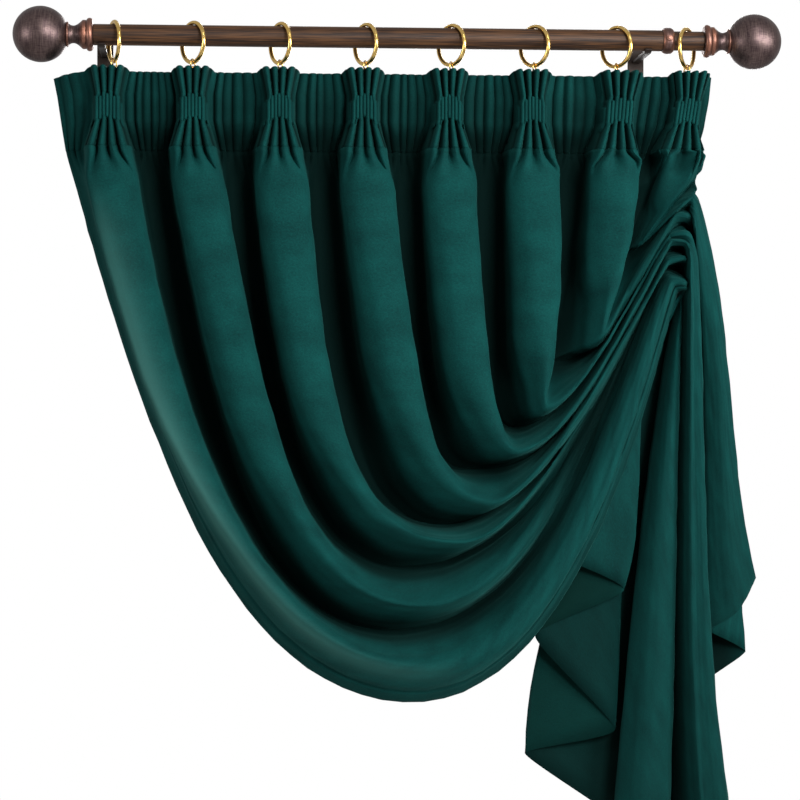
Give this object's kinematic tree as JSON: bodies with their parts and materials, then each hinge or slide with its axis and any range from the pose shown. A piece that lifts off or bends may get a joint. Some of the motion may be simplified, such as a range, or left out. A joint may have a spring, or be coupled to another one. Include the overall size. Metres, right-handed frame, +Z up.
{
  "type": "curtain panel on rod",
  "caption": "Pinch-pleated velvet curtain swept to one side and gathered, with a cascading tail, hung by rings from a ball-ended rod on wall brackets.",
  "frame": {"origin": "centre of the left wall plate's back face, on the wall", "axes": "+X along the rod to the right, +Y into the wall, +Z up"},
  "size_m": [1.0296, 0.1702, 1.1148],
  "materials": {
    "velvet": "deep emerald pile velvet with a soft sheen",
    "brass": "polished",
    "bronze": "oil-rubbed bronze, finely brushed",
    "rod_finish": "dark brown wood-grain finish, satin",
    "bracket_metal": "dark bronze, satin"
  },
  "bodies": {
    "root": {"panel": "velvet", "heading": "velvet", "rod_tube": "rod_finish", "rod_inner": "rod_finish", "rod_collar": "bronze", "collar_screw": "bronze", "finial_left": "bronze", "finial_right": "bronze", "bracket_plate_left": "bracket_metal", "bracket_arm_left": "bracket_metal", "bracket_plate_right": "bracket_metal", "bracket_arm_right": "bracket_metal", "ring_1": "brass", "eye_1": "brass", "hook_1": "brass", "ring_2": "brass", "eye_2": "brass", "hook_2": "brass", "ring_3": "brass", "eye_3": "brass", "hook_3": "brass", "ring_4": "brass", "eye_4": "brass", "hook_4": "brass", "ring_5": "brass", "eye_5": "brass", "hook_5": "brass", "ring_6": "brass", "eye_6": "brass", "hook_6": "brass", "ring_7": "brass", "eye_7": "brass", "hook_7": "brass", "ring_8": "brass", "eye_8": "brass", "hook_8": "brass"}
  },
  "joints": []
}
